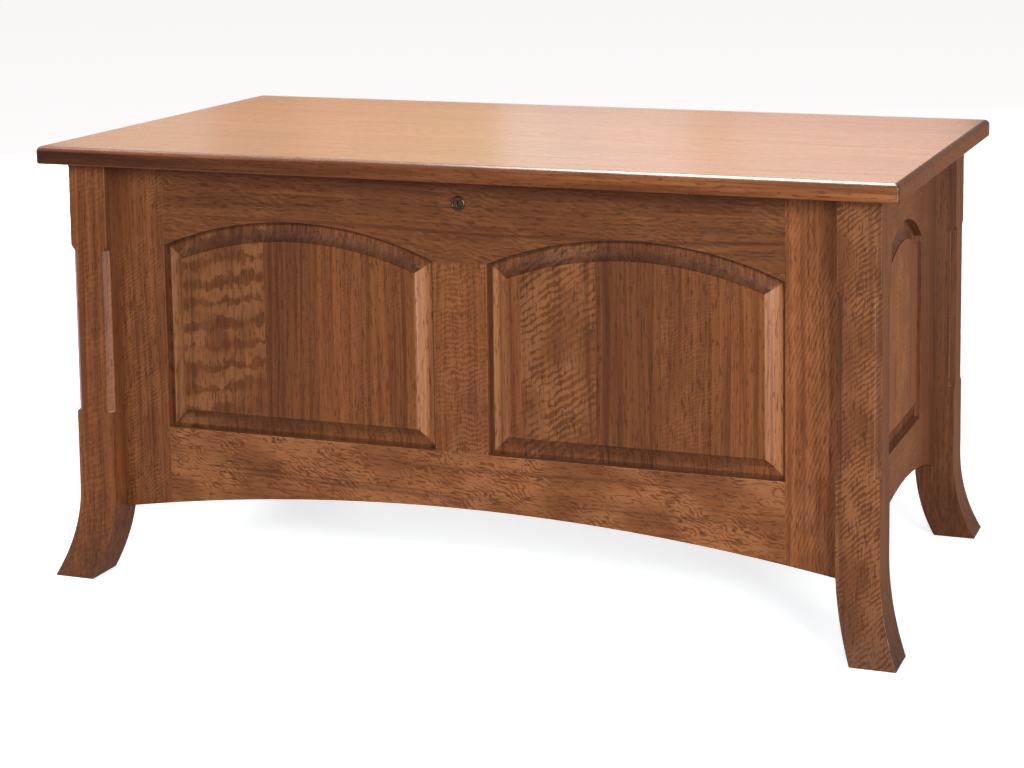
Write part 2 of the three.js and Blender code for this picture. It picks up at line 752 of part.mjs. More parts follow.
function buildLock() {
  const group = new THREE.Group();
  const face = frontFaceY - glueLine;
  const bezelFront = face - bezelThickness;
  const bodyEnd = frontFaceY + lockBodyLength - bezelThickness;
  const bore = plugRadius + clearance;
  const housing = turnedY([
    [bore, bodyEnd], [bore, bezelFront], [bezelRadius - bezelRound, bezelFront],
    [bezelRadius, bezelFront + bezelRound], [bezelRadius, face], [lockBodyRadius, face],
    [lockBodyRadius, bodyEnd], [bore, bodyEnd],
  ]);
  const nutFront = frontInsideY + glueLine;
  const nutBlank = new THREE.CylinderGeometry(nutRadius, nutRadius, nutThickness, 6);
  const nutBore = new THREE.CylinderGeometry(
    lockBodyRadius + clearance,
    lockBodyRadius + clearance,
    nutThickness + 2 * overrun,
    turnSteps,
  );
  const nut = cut(nutBlank, nutBore).translate(0, nutFront + nutThickness / 2, lockHeight);
  const plugFront = bezelFront + plugRecess;
  const camFront = bodyEnd + clearance;
  const camBack = camFront + camThickness;
  const stubEnd = bodyEnd + stubLength;
  const plugBlank = turnedY([
    [0, plugFront], [plugRadius, plugFront], [plugRadius, bodyEnd], [stubRadius, bodyEnd],
    [stubRadius, stubEnd], [0, stubEnd],
  ]);
  const keyway = block(
    [-keywayWidth / 2, plugFront - overrun, lockHeight - keywayHeight / 2],
    [keywayWidth / 2, plugFront + keywayDepth, lockHeight + keywayHeight / 2],
  );
  const camTip = camLength - camWidth / 2;
  const camOutline = [[0, -Math.PI], [camTip, 0]].flatMap(([rise, start]) =>
    Array.from({ length: barSteps + 1 }, (_, i) => {
      const angle = start + (Math.PI * i) / barSteps;
      return [(camWidth / 2) * Math.cos(angle), lockHeight + rise + (camWidth / 2) * Math.sin(angle)];
    }));
  const stubHole = turnedY([
    [0, camFront - overrun], [stubRadius + clearance, camFront - overrun],
    [stubRadius + clearance, camBack + overrun], [0, camBack + overrun],
  ]);
  const lipTop = lockHeight - camWidth / 2 - camLipGap;
  const webFront = camBack + strikeBehindCam;
  const webBack = webFront + strikeThickness;
  const strikeEnd = strikeStart + strikeWidth;
  const seat = lidBottom - glueLine;
  const lipBottom = lipTop - strikeThickness;
  const web = block([strikeStart, webFront, lipBottom], [strikeEnd, webBack, seat]);
  const lip = block([strikeStart, webBack - lipReach, lipBottom], [strikeEnd, webBack, lipTop]);
  const flange = block(
    [strikeStart, webFront, seat - strikeThickness],
    [strikeEnd, webBack + strikeFlange, seat],
  );
  group.add(
    mesh('lock_housing', housing, 'lockMetal'),
    mesh('lock_nut', nut, 'lockMetal'),
    mesh('lock_plug', cut(plugBlank, keyway), 'lockMetal'),
    mesh('lock_cam', cut(slab(camOutline, camFront, camBack), stubHole), 'steel'),
    mesh('lock_strike', join(web, lip, flange), 'steel'),
  );
  return group;
}

// The whole chest

const chest = new THREE.Group();
chest.name = 'blanket_chest';
chest.add(
  buildLegs(),
  buildWall(frontWall, wallNames('front', 'left', 'right')),
  buildWall(rightWall, wallNames('right', 'front', 'rear')),
  buildWall(leftWall, wallNames('left', 'rear', 'front')),
  buildWall(backWall, wallNames('back', 'right', 'left')),
  buildBottom(),
  mesh('lid_top', lidGeometry(), 'lidOak'),
  buildHinges(),
  buildSupport('left', -1),
  buildSupport('right', 1),
  buildLock(),
);

export default chest;
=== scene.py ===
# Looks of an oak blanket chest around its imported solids: lacquered quartersawn oak, cedar floor boards,
# antique brass hinges, lid supports and a dark round lock.
# Metres. +X is to the chest's right as seen from the front, +Y to its back and +Z up.
import json
import math
import random
from collections import namedtuple

import bmesh
import bpy
import numpy as np
from mathutils import Matrix, Vector
from mathutils.bvhtree import BVHTree


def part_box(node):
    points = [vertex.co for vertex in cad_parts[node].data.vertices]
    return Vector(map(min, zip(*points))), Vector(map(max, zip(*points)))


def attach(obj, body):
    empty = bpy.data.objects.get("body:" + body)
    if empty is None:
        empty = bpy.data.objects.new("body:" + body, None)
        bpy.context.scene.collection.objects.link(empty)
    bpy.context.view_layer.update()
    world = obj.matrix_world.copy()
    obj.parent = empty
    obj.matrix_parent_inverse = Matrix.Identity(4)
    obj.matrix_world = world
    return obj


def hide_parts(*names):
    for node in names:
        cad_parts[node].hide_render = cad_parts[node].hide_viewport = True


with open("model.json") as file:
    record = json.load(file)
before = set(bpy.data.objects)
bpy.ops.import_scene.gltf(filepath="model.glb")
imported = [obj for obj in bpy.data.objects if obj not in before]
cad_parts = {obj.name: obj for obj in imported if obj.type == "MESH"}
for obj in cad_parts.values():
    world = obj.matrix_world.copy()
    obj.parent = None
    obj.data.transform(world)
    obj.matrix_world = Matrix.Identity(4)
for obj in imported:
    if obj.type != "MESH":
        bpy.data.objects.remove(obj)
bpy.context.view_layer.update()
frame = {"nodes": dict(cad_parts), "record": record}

NODES = frame["nodes"]
RECORD = frame["record"]
BODY_OF = {node: body for body, members in RECORD["behaviour"]["bodies"].items() for node in members}
SLOT_OF = {row["node"]: row["material_slot"] for row in RECORD["subparts"]}
BOX = {node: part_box(node) for node in NODES}
X, Y, Z = range(3)
MM = 0.001

# The camera that fits the photograph, as a place, three angles, and a focal length and centre in its pixels
PHOTO_WIDTH, PHOTO_HEIGHT = 1024, 768
CAMERA_PLACE = (1.1458, -2.9125, 1.03)
CAMERA_YAW, CAMERA_PITCH, CAMERA_ROLL = (math.radians(a) for a in (-19.073, -7.166, -0.434))
FOCAL_PIXELS = 2186.4
CENTRE_X, CENTRE_Y = 620, 120
SENSOR_WIDTH = 36

# Edges: how round they are, what counts as sharp, and how close a neighbour keeps an edge from showing
WOOD_EASE = 0.9 * MM
PANEL_EASE = 0.5 * MM
METAL_EASE = 0.25 * MM
EASE_STEPS = 3
SHARP = math.radians(28)
FLAT = math.radians(0.2)
TOUCH = 0.8 * MM
MERGE = 0.001 * MM


# Node materials

class Shader:
    """A node material that is put together from expressions; a value is a socket, a number or a tuple."""

    def __init__(self, name):
        self.material = bpy.data.materials.new(name)
        self.material.use_nodes = True
        self.tree = self.material.node_tree
        self.tree.nodes.clear()

    def add(self, kind, sockets=None, **settings):
        node = self.tree.nodes.new(kind)
        for key, value in settings.items():
            setattr(node, key, value)
        for key, value in (sockets or {}).items():
            self.feed(node.inputs[key], value)
        return node

    def feed(self, socket, value):
        if isinstance(value, bpy.types.NodeSocket):
            self.tree.links.new(value, socket)
        else:
            socket.default_value = value

    def math(self, operation, *values, clamp=False):
        node = self.add("ShaderNodeMath", dict(enumerate(values)), operation=operation, use_clamp=clamp)
        return node.outputs[0]

    def vector(self, operation, *values):
        node = self.add("ShaderNodeVectorMath", operation=operation)
        for socket, value in zip(node.inputs, values):
            self.feed(socket, value)
        return node.outputs[0]

    def vector_value(self, operation, *values):
        return self.vector(operation, *values).node.outputs["Value"]

    def join(self, x, y, z):
        return self.add("ShaderNodeCombineXYZ", {0: x, 1: y, 2: z}).outputs[0]

    def attribute(self, name):
        return self.add("ShaderNodeAttribute", attribute_name=name).outputs["Vector"]

    def attribute_value(self, name):
        return self.add("ShaderNodeAttribute", attribute_name=name).outputs["Fac"]

    def noise(self, vector, stretch, detail=2.0, roughness=0.5):
        """Cloudy noise, with so many clouds to the metre along each axis."""
        place = self.vector("MULTIPLY", vector, stretch)
        sockets = {"Vector": place, "Scale": 1.0, "Detail": detail, "Roughness": roughness}
        return self.add("ShaderNodeTexNoise", sockets).outputs[0]

    def step(self, value, low, high, to_low=0.0, to_high=1.0):
        """Smooth step of a value from low to high."""
        sockets = {"Value": value, "From Min": low, "From Max": high, "To Min": to_low, "To Max": to_high}
        node = self.add("ShaderNodeMapRange", sockets, interpolation_type="SMOOTHSTEP", clamp=True)
        return node.outputs[0]

    def mix(self, share, a, b):
        node = self.add("ShaderNodeMix", data_type="RGBA", clamp_factor=True)
        for index, value in ((0, share), (6, a), (7, b)):
            self.feed(node.inputs[index], value)
        return node.outputs[2]

    def shaded(self, shade, colour):
        """A colour made lighter or darker; shade 1 keeps it."""
        return self.add("ShaderNodeHueSaturation", {"Value": shade, "Color": colour}).outputs[0]

    def bump(self, height, strength, distance):
        sockets = {"Height": height, "Strength": strength, "Distance": distance}
        return self.add("ShaderNodeBump", sockets).outputs[0]

    def finish(self, **sockets):
        """The surface, with its sockets named by words joined with underscores."""
        named = {key.replace("_", " "): value for key, value in sockets.items()}
        surface = self.add("ShaderNodeBsdfPrincipled", named)
        out = self.add("ShaderNodeOutputMaterial")
        self.tree.links.new(surface.outputs[0], out.inputs["Surface"])
        return self.material


# The colours of stained oak: its rings' dark and light, its ray flake, its pores, and a paler colour that
# paints highlight on the panels' side slopes
Stain = namedtuple("Stain", "dark light flake pore bare")
# Paler colour for the painted highlight on the panels' side slopes
SLOPE_HIGHLIGHT_OAK = (0.51, 0.255, 0.115, 1)
CHEST_STAIN = Stain(
    dark=(0.07, 0.0215, 0.0066, 1), light=(0.2, 0.0715, 0.022, 1), flake=(0.41, 0.185, 0.076, 1),
    pore=(0.035, 0.01, 0.003, 1), bare=SLOPE_HIGHLIGHT_OAK,
)
LID_STAIN = Stain(
    dark=(0.1, 0.03, 0.008, 1), light=(0.25, 0.088, 0.026, 1), flake=(0.36, 0.15, 0.055, 1),
    pore=(0.06, 0.017, 0.005, 1), bare=SLOPE_HIGHLIGHT_OAK,
)

# How fine the wood's figure is, in clouds to the metre along, across and through the board
WANDER = (1.6, 6, 6)
RINGS = (3.0, 180, 140)
BANDS = (0.8, 36, 12)
PORES = (62, 430, 400)
PORE_LINES = (1.3, 105, 70)
SWAY = (24, 34, 24)
CUTS = (36, 58, 60)
PATCHES = (11, 16, 20)

# How far the rings wander across the board, and the flake's strokes sway along and across it, in metres
WANDER_REACH = 0.03
SWAY_ALONG, SWAY_ACROSS = 0.04, 0.024

# How far the flake and the pores cover the rings' colour
FLAKE_SHARE = 0.6
PORE_SHARE = 0.62


def oak(name, stain, coat_roughness):
    """Quartersawn oak under lacquer. Attributes of the mesh steer it: grain is the place along, across and
    through the board, board is where it was cut from its log, wave is the ray flake's direction and
    fineness, flake is its strength, and shade is how light the board is. One more attribute darkens the
    wood below 1: darker stain in cut fibres, deepened as painted shade on slopes that face the high end of
    the grain, and painted shade on the panels' sunk margins. Above 1 it paints highlight on the panels'
    side slopes by mixing towards a paler colour."""
    s = Shader(name)
    place = s.vector("ADD", s.attribute("grain"), s.attribute("board"))

    # Growth rings run along the board as slightly wandering streaks
    wander = s.math("SUBTRACT", s.noise(place, WANDER, detail=1), 0.5)
    wander = s.math("MULTIPLY", wander, WANDER_REACH)
    bent = s.vector("ADD", place, s.join(0.0, wander, 0.0))
    rings = s.noise(bent, RINGS, detail=3, roughness=0.72)
    bands = s.noise(bent, BANDS, detail=1)
    strength = s.attribute_value("flake")
    contrast = s.math("MULTIPLY_ADD", strength, -1.6, 2.45)
    light = s.math("MULTIPLY_ADD", s.math("SUBTRACT", rings, 0.5), contrast, 0.5)
    light = s.math("MULTIPLY_ADD", s.math("SUBTRACT", bands, 0.5), 0.7, light, clamp=True)
    colour = s.mix(light, stain.dark, stain.light)
    # Below 1 darker stain and painted shade, above 1 painted highlight towards a paler colour
    soak = s.attribute_value("soak")
    colour = s.mix(s.math("SUBTRACT", soak, 1.0, clamp=True), colour, s.mix(light, stain.light, stain.bare))

    # Open pores are short dark dashes, which bunch into a few long dark lines
    dashes = s.step(s.noise(bent, PORES, detail=1.5, roughness=0.6), 0.56, 0.66)
    lines = s.step(s.noise(bent, PORE_LINES, detail=1.5), 0.6, 0.66)
    dashes = s.math("MAXIMUM", dashes, s.math("MULTIPLY", lines, 0.6))

    # Ray flake: wavy strokes that lean across the grain, broken by cuts, and stronger in some patches
    sway = s.noise(place, SWAY, detail=3, roughness=0.58)
    offset = s.join(s.math("MULTIPLY", sway, SWAY_ALONG), s.math("MULTIPLY", sway, SWAY_ACROSS), 0.0)
    swayed = s.vector("ADD", place, offset)
    phase = s.vector_value("DOT_PRODUCT", swayed, s.attribute("wave"))
    stroke = s.math("ABSOLUTE", s.math("SUBTRACT", s.math("FRACT", phase), 0.5))
    cut = s.noise(place, CUTS, detail=3, roughness=0.65)
    width = s.math("MULTIPLY_ADD", cut, 1.35, s.math("MULTIPLY_ADD", strength, 0.3, -0.54))
    stroke = s.step(s.math("SUBTRACT", width, stroke), -0.09, 0.11)
    present = s.step(s.noise(place, PATCHES, detail=1.5), 0.36, 0.6, to_low=0.25)
    flake = s.math("MULTIPLY", s.math("MULTIPLY", stroke, present), strength, clamp=True)

    colour = s.mix(s.math("MULTIPLY", flake, FLAKE_SHARE), colour, stain.flake)
    colour = s.mix(s.math("MULTIPLY", dashes, PORE_SHARE), colour, stain.pore)
    shade = s.math("MULTIPLY", s.attribute_value("shade"), s.math("MINIMUM", soak, 1.0))
    colour = s.shaded(shade, colour)

    roughness = s.math("MULTIPLY_ADD", dashes, 0.15, s.math("MULTIPLY_ADD", flake, -0.1, 0.5))
    normal = s.bump(dashes, -0.25, 0.2 * MM)
    coat = s.math("MULTIPLY_ADD", rings, 0.7, 0.6, clamp=True)
    return s.finish(Base_Color=colour, Roughness=roughness, Specular_IOR_Level=0.25, Normal=normal,
                    Coat_Weight=coat, Coat_Roughness=coat_roughness, Coat_Normal=normal)


def cedar():
    """Bare sanded cedar: soft pink bands along the board and a few small darker streaks."""
    s = Shader("cedar_boards")
    place = s.vector("ADD", s.attribute("grain"), s.attribute("board"))
    wander = s.math("MULTIPLY", s.math("SUBTRACT", s.noise(place, (2.2, 5, 5)), 0.5), 0.06)
    bent = s.vector("ADD", place, s.join(0.0, wander, 0.0))
    rings = s.noise(bent, (1.2, 120, 90), detail=3, roughness=0.55)
    streaks = s.step(s.noise(bent, (3, 200, 120), detail=2), 0.62, 0.75)
    colour = s.mix(s.step(rings, 0.3, 0.7), (0.33, 0.13, 0.06, 1), (0.62, 0.34, 0.18, 1))
    colour = s.mix(s.math("MULTIPLY", streaks, 0.5), colour, (0.22, 0.08, 0.04, 1))
    colour = s.shaded(s.attribute_value("shade"), colour)
    fibres = s.noise(bent, (40, 1300, 900), detail=2)
    return s.finish(Base_Color=colour, Roughness=0.62, Normal=s.bump(fibres, 0.3, 0.15 * MM))


def metal(name, colour, dark, roughness, metallic=1.0, wear=0.5, scale=220):
    """Plated or coated metal: fine cloudy tarnish, small scratches and grain in its roughness."""
    s = Shader(name)
    place = s.add("ShaderNodeTexCoord").outputs["Object"]
    cloud = s.noise(place, (scale, scale, scale), detail=4, roughness=0.6)
    fine = s.noise(place, (scale * 9, scale * 9, scale * 9), detail=2)
    scratch = s.step(s.noise(place, (scale * 14, scale * 0.8, scale * 3), detail=1), 0.62, 0.72)
    share = s.math("MULTIPLY", s.step(cloud, 0.35, 0.65), wear)
    tint = s.mix(share, colour, dark)
    rough = s.math("MULTIPLY_ADD", fine, 0.16, roughness - 0.08)
    rough = s.math("MULTIPLY_ADD", scratch, 0.1, rough)
    height = s.math("MULTIPLY_ADD", scratch, -0.4, fine)
    return s.finish(Base_Color=tint, Metallic=metallic, Roughness=rough,
                    Normal=s.bump(height, 0.12, 0.05 * MM))


OAK = {
    "frame_oak": oak("oak_frame", CHEST_STAIN, 0.3),
    "panel_oak": oak("oak_panel", CHEST_STAIN, 0.3),
    "lid_oak": oak("oak_lid", LID_STAIN, 0.22),
}
CEDAR = cedar()
METAL = {
    "hinge_brass": metal("antique_brass", (0.36, 0.26, 0.12, 1), (0.14, 0.09, 0.045, 1), 0.34),
    "plated_steel": metal("zinc_plate", (0.62, 0.62, 0.6, 1), (0.45, 0.44, 0.42, 1), 0.3),
    "black_steel": metal(
        "black_coat", (0.02, 0.02, 0.021, 1), (0.035, 0.034, 0.033, 1), 0.42, metallic=0.0, scale=500,
    ),
    "lock_metal": metal(
        "dark_antique", (0.26, 0.26, 0.2, 1), (0.06, 0.056, 0.045, 1), 0.3, wear=0.7, scale=320,
    ),
}


# Meshes from the solids

TREES = {
    name: BVHTree.FromPolygons([v.co.copy() for v in node.data.vertices],
                               [tuple(p.vertices) for p in node.data.polygons])
    for name, node in NODES.items()
}


def neighbours(node):
    """The trees of the other solids on the same body whose boxes come close to a node's."""
    low, high = BOX[node]
    near = []
    for other, (other_low, other_high) in BOX.items():
        apart = max(max(other_low[i] - high[i], low[i] - other_high[i]) for i in range(3))
        if other != node and BODY_OF[other] == BODY_OF[node] and apart < TOUCH:
            near.append(TREES[other])
    return near


def plane(axis, place):
    normal = Vector((0, 0, 0))
    normal[axis] = 1
    return {"plane_co": normal * place, "plane_no": normal}


def solid_copy(node, splits=()):
    """A node's solid with its flat faces merged, and its faces split where the planes cross them."""
    bm = bmesh.new()
    bm.from_mesh(NODES[node].data)
    bmesh.ops.remove_doubles(bm, verts=bm.verts, dist=MERGE)
    bmesh.ops.dissolve_limit(bm, angle_limit=FLAT, verts=bm.verts, edges=bm.edges)
    for axis, place in splits:
        geometry = [*bm.verts, *bm.edges, *bm.faces]
        bmesh.ops.bisect_plane(bm, geom=geometry, dist=MERGE, **plane(axis, place))
    bm.normal_update()
    return bm


def mark_edges(bm, near):
    """Outer edges that show are eased, and the rest of the sharp edges stay sharp."""
    weight = bm.edges.layers.float.new("bevel_weight_edge")
    for face in bm.faces:
        face.smooth = True
    for edge in bm.edges:
        if len(edge.link_faces) != 2 or edge.calc_face_angle(0) < SHARP:
            continue
        middle = (edge.verts[0].co + edge.verts[1].co) / 2
        hidden = any(tree.find_nearest(middle, TOUCH)[0] is not None for tree in near)
        if edge.is_convex and not hidden:
            edge[weight] = 1
        else:
            edge.smooth = False


def settle(piece):
    """Applies a piece's modifiers."""
    graph = bpy.context.evaluated_depsgraph_get()
    mesh = bpy.data.meshes.new_from_object(piece.evaluated_get(graph))
    piece.modifiers.clear()
    piece.data = mesh
    mesh.name = piece.name


def place_mesh(bm, name):
    mesh = bpy.data.meshes.new(name)
    bm.to_mesh(mesh)
    bm.free()
    piece = bpy.data.objects.new(name, mesh)
    bpy.context.scene.collection.objects.link(piece)
    return piece


def ease(piece, width):
    """Rounds the marked edges and keeps the flat faces flat."""
    bevel = piece.modifiers.new("ease", "BEVEL")
    bevel.limit_method = "WEIGHT"
    bevel.width = width
    bevel.segments = EASE_STEPS
    bevel.miter_outer = "MITER_ARC"
    normals = piece.modifiers.new("normals", "WEIGHTED_NORMAL")
    normals.keep_sharp = True
    settle(piece)


def dress(piece, node, material):
    """Puts a finished piece in the place of a node."""
    piece.data.materials.clear()
    piece.data.materials.append(material)
    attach(piece, BODY_OF[node])
    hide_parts(node)


# Wood

# A board ends at a place across the wall. Its flake's strength and its shade follow, and then the flake's
# lean from the grain, in degrees, and its spacing.
Board = namedtuple("Board", "end flake shade lean spacing", defaults=(math.inf, 0.6, 1.0, 60, 5 * MM))


def read_vectors(items, name):
    values = np.empty(len(items) * 3, np.float32)
    items.foreach_get(name, values)
    return values.reshape(-1, 3)


# A raised panel's sunk margin gets painted shade. Cut fibres take darker stain, set deeper as painted shade
# on slopes that face the high end, and the panel's side slopes get painted highlight. Pairs are for slopes
# that face the low and the high end.
MARGIN_PAINTED_SHADE = 0.55
END_STAIN_AND_SHADE = 1.1
END_STAIN_AND_SHADE_LIMITS = (0.78, 0.5)
SLOPE_PAINTED_HIGHLIGHT = (0.72, 0.68)

# A face that leans less than LEVEL is flat, and one that leans more than STEEP is an edge. A slope counts as
# a side of the panel as its share of sideways lean goes from SIDE_FROM to SIDE_FULL. A normal that points
# out of the board by less than EDGE belongs to its edge.
LEVEL, STEEP = 0.02, 0.8
SIDE_FROM, SIDE_FULL = 0.35, 0.75
EDGE = 0.3

# How far the place where a board was cut from its log may lie from the middle, in metres
LOG_REACH = 20


def paint_grain(mesh, along, across, boards, seed, edge_shades=(1, 1), hollow_depth=0):
    """Writes the attributes that the wood's material reads."""
    rng = random.Random(seed)
    through = 3 - along - across
    points = read_vectors(mesh.vertices, "co")
    grain = mesh.attributes.new("grain", "FLOAT_VECTOR", "POINT")
    grain.data.foreach_set("vector", points[:, [along, across, through]].ravel())
    normals = read_vectors(mesh.corner_normals, "vector")
    tilts = np.abs(normals)
    # Darker stain in cut fibres, deepened as painted shade on slopes that face the high end of the grain
    limits = np.where(normals[:, along] < 0, *END_STAIN_AND_SHADE_LIMITS)
    soak = np.clip(1 - END_STAIN_AND_SHADE * tilts[:, along], limits, 1)
    corners = np.empty(len(mesh.loops), np.int32)
    mesh.loops.foreach_get("vertex_index", corners)
    corners = points[corners]
    low, high = corners[:, along].min(), corners[:, along].max()
    # Edge faces get a shade that runs from the low to the high end of the grain; on the lid it is painted
    # light
    ends = np.interp(corners[:, along], [low, high], edge_shades)
    soak *= np.where(tilts[:, through] > EDGE, 1, ends)
    if hollow_depth:
        sizes = np.empty(len(mesh.polygons), np.int32)
        mesh.polygons.foreach_get("loop_total", sizes)
        flat = np.repeat(read_vectors(mesh.polygons, "normal"), sizes, axis=0)
        lean = np.hypot(flat[:, across], flat[:, along])
        side = np.abs(flat[:, across]) / np.maximum(lean, LEVEL)
        share = np.clip((side - SIDE_FROM) / (SIDE_FULL - SIDE_FROM), 0, 1)
        share[(lean < LEVEL) | (lean > STEEP)] = 0
        # Painted highlight on the panel's side slopes
        soak += np.where(flat[:, across] < 0, *SLOPE_PAINTED_HIGHLIGHT) * share
        outward = np.abs(corners[:, through])
        # Painted shade on the panel's sunk margin
        soak[(lean < LEVEL) & (outward.max() - outward > hollow_depth)] = MARGIN_PAINTED_SHADE
    mesh.attributes.new("soak", "FLOAT", "CORNER").data.foreach_set("value", soak.astype(np.float32))
    centres = read_vectors(mesh.polygons, "center")
    index = np.searchsorted([board.end for board in boards], centres[:, across])
    cuts = np.array([[rng.uniform(-LOG_REACH, LOG_REACH) for _ in range(3)] for _ in boards], np.float32)
    leans = [math.radians(board.lean) for board in boards]
    waves = [[-math.sin(lean) / b.spacing, math.cos(lean) / b.spacing, 0] for b, lean in zip(boards, leans)]
    for name, values in (("board", cuts), ("wave", np.array(waves, np.float32))):
        layer = mesh.attributes.new(name, "FLOAT_VECTOR", "FACE")
        layer.data.foreach_set("vector", values[index].ravel())
    broad = np.abs(read_vectors(mesh.polygons, "normal")[:, through]) > EDGE
    shades = np.array([board.shade for board in boards], np.float32)[index]
    flakes = np.array([board.flake for board in boards], np.float32)[index] * broad
    for name, values in (("flake", flakes), ("shade", shades)):
        layer = mesh.attributes.new(name, "FLOAT", "FACE")
        layer.data.foreach_set("value", values.astype(np.float32))


def wooden(node, along, across, *boards, width=WOOD_EASE, splits=(), **painting):
    """A wooden piece in a node's place, with its grain along one axis and its boards side by side."""
    joints = [(across, board.end) for board in boards[:-1]]
    bm = solid_copy(node, [*splits, *joints])
    mark_edges(bm, neighbours(node))
    piece = place_mesh(bm, f"{node}_wood")
    ease(piece, width)
    paint_grain(piece.data, along, across, boards, node, **painting)
    dress(piece, node, OAK[SLOT_OF[node]])


# Walls: each side's pieces, with the planes where their joints meet

# A raised panel's margin lies further behind its field than this
HOLLOW_DEPTH = 8.5 * MM

# The boards of the two front panels, and how many the other panels have, with their flake and shade
PANEL_BOARDS = {
    "front_panel_left": [
        Board(-0.294, 0.6, 0.79, 80, 30 * MM), Board(-0.212, 0.08, 0.76), Board(math.inf, 0.12, 0.98),
    ],
    "front_panel_right": [
        Board(0.087, 0.08, 1.0), Board(0.193, 0.65, 0.79, 57, 9 * MM), Board(0.283, 0.05, 0.75),
        Board(0.378, 0.2, 0.92, 70), Board(math.inf, 0.08, 1.12),
    ],
}
OTHER_BOARDS = 3
OTHER_FLAKE = (0.1, 0.7)
OTHER_SHADE = 1.2

# How mixed boards differ: the shift of a joint as a share of a board's width, then shade, lean and spacing
JOINT_SHIFT = 0.1
SHADES = (0.88, 1.1)
LEANS = (50, 85)
SPACINGS = (4, 9)


def mixed_boards(node, axis, count, flake, shade):
    """Boards of nearly equal width and mixed figure."""
    rng = random.Random(f"{node} boards")
    low, high = BOX[node][0][axis], BOX[node][1][axis]
    width = (high - low) / count
    steps = [i + 1 + rng.uniform(-JOINT_SHIFT, JOINT_SHIFT) for i in range(count - 1)]
    ends = [low + width * step for step in steps] + [math.inf]
    draw = rng.uniform
    return [
        Board(end, draw(*flake), shade * draw(*SHADES), draw(*LEANS), draw(*SPACINGS) * MM) for end in ends
    ]


def build_wall(wall, axis, stiles, panels, top, bottom, mullion=None):
    """One wall. Its stiles, mullion and panels have upright grain, and its rails run along the axis."""
    rail_top = BOX[f"{wall}_bottom_rail"][1].z
    rail_foot = BOX[f"{wall}_top_rail"][0].z
    splits = [(Z, rail_top), (Z, rail_foot)]
    if mullion:
        low, high = BOX[f"{wall}_mullion"]
        splits += [(axis, low[axis]), (axis, high[axis])]
        wooden(f"{wall}_mullion", Z, axis, mullion, splits=splits)
    for name, board in stiles.items():
        wooden(f"{wall}_stile_{name}", Z, axis, board, splits=splits)
    wooden(f"{wall}_top_rail", axis, Z, top, splits=splits)
    wooden(f"{wall}_bottom_rail", axis, Z, bottom, splits=splits)
    for name in panels:
        boards = PANEL_BOARDS.get(name) or mixed_boards(name, axis, OTHER_BOARDS, OTHER_FLAKE, OTHER_SHADE)
        depth = 0 if wall == "back" else HOLLOW_DEPTH
        wooden(name, Z, axis, *boards, width=PANEL_EASE, hollow_depth=depth)


PLAIN = Board()
SIDE = Board(flake=0.4, shade=1.12)
SIDE_REAR = Board(flake=0.12, shade=1.06)
build_wall(
    "front", X,
    stiles={"left": Board(flake=0.3, shade=0.92, lean=55), "right": Board(flake=0.3, shade=1.12, lean=20)},
    panels=("front_panel_left", "front_panel_right"),
    # The top rail's low shade is partly painted shade under the lid's overhang
    top=Board(flake=0.35, shade=0.72, lean=-12, spacing=7 * MM),
    bottom=Board(flake=0.75, shade=0.95, lean=-25, spacing=5.5 * MM),
    mullion=Board(flake=0.4, shade=0.96, lean=75, spacing=7 * MM),
)
for side in ("right", "left"):
    build_wall(side, Y, {"front": SIDE, "rear": SIDE_REAR}, (f"{side}_panel",), SIDE, SIDE)
build_wall(
    "back", X, {"left": PLAIN, "right": PLAIN}, ("back_panel_left", "back_panel_right"), PLAIN, PLAIN, PLAIN
)

REAR_LEG = Board(flake=0.12, shade=0.82, lean=75)
LEG_BOARDS = {
    "front_left": Board(flake=0.2, shade=1.1, lean=65, spacing=8 * MM),
    "front_right": Board(flake=0.68, shade=0.78, lean=50, spacing=6 * MM),
    "rear_left": REAR_LEG,
    "rear_right": REAR_LEG,
}
for leg, board in LEG_BOARDS.items():
    wooden(f"leg_{leg}", Z, X, board)


# Lid, glued up from boards across its depth

LID_BOARDS = 6
LID_FLAKE = (0.2, 0.5)
# The lid's edge shade from its left to its right end: a darker edge tone with painted light falling off to
# the left
LID_EDGE_PAINTED_SHADES = (0.28, 1.3)

boards = mixed_boards("lid_top", Y, LID_BOARDS, LID_FLAKE, 1.0)
wooden("lid_top", X, Y, *boards, edge_shades=LID_EDGE_PAINTED_SHADES)


# Bottom: cedar boards side by side on oak cleats

CEDAR_BOARDS = 6
CEDAR_GAP = 0.6 * MM
CEDAR_EASE = 1.2 * MM
CEDAR_SHADES = (0.9, 1.1)


def build_bottom():
    for name, along, across in (("front", X, Y), ("back", X, Y), ("left", Y, X), ("right", Y, X)):
        wooden(f"cleat_{name}", along, across, PLAIN)
    low, high = (corner.y for corner in BOX["bottom_board"])
    width = (high - low) / CEDAR_BOARDS
    for i in range(CEDAR_BOARDS):
        bm = solid_copy("bottom_board")
        cuts = [(low + width * i + CEDAR_GAP / 2, True), (low + width * (i + 1) - CEDAR_GAP / 2, False)]
        for place, below in cuts:
            if not low + CEDAR_GAP < place < high - CEDAR_GAP:
                continue
            geometry = [*bm.verts, *bm.edges, *bm.faces]
            found = bmesh.ops.bisect_plane(bm, geom=geometry, dist=MERGE, clear_inner=below,
                                           clear_outer=not below, **plane(Y, place))
            edges = [e for e in found["geom_cut"] if isinstance(e, bmesh.types.BMEdge)]
            bmesh.ops.contextual_create(bm, geom=edges)
        bm.normal_update()
        mark_edges(bm, [])
        piece = place_mesh(bm, f"cedar_board_{i + 1}")
        ease(piece, CEDAR_EASE)
        shade = random.Random(f"cedar {i}").uniform(*CEDAR_SHADES)
        paint_grain(piece.data, X, Y, [Board(shade=shade)], piece.name)
        piece.data.materials.append(CEDAR)
        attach(piece, BODY_OF["bottom_board"])
    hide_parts("bottom_board")


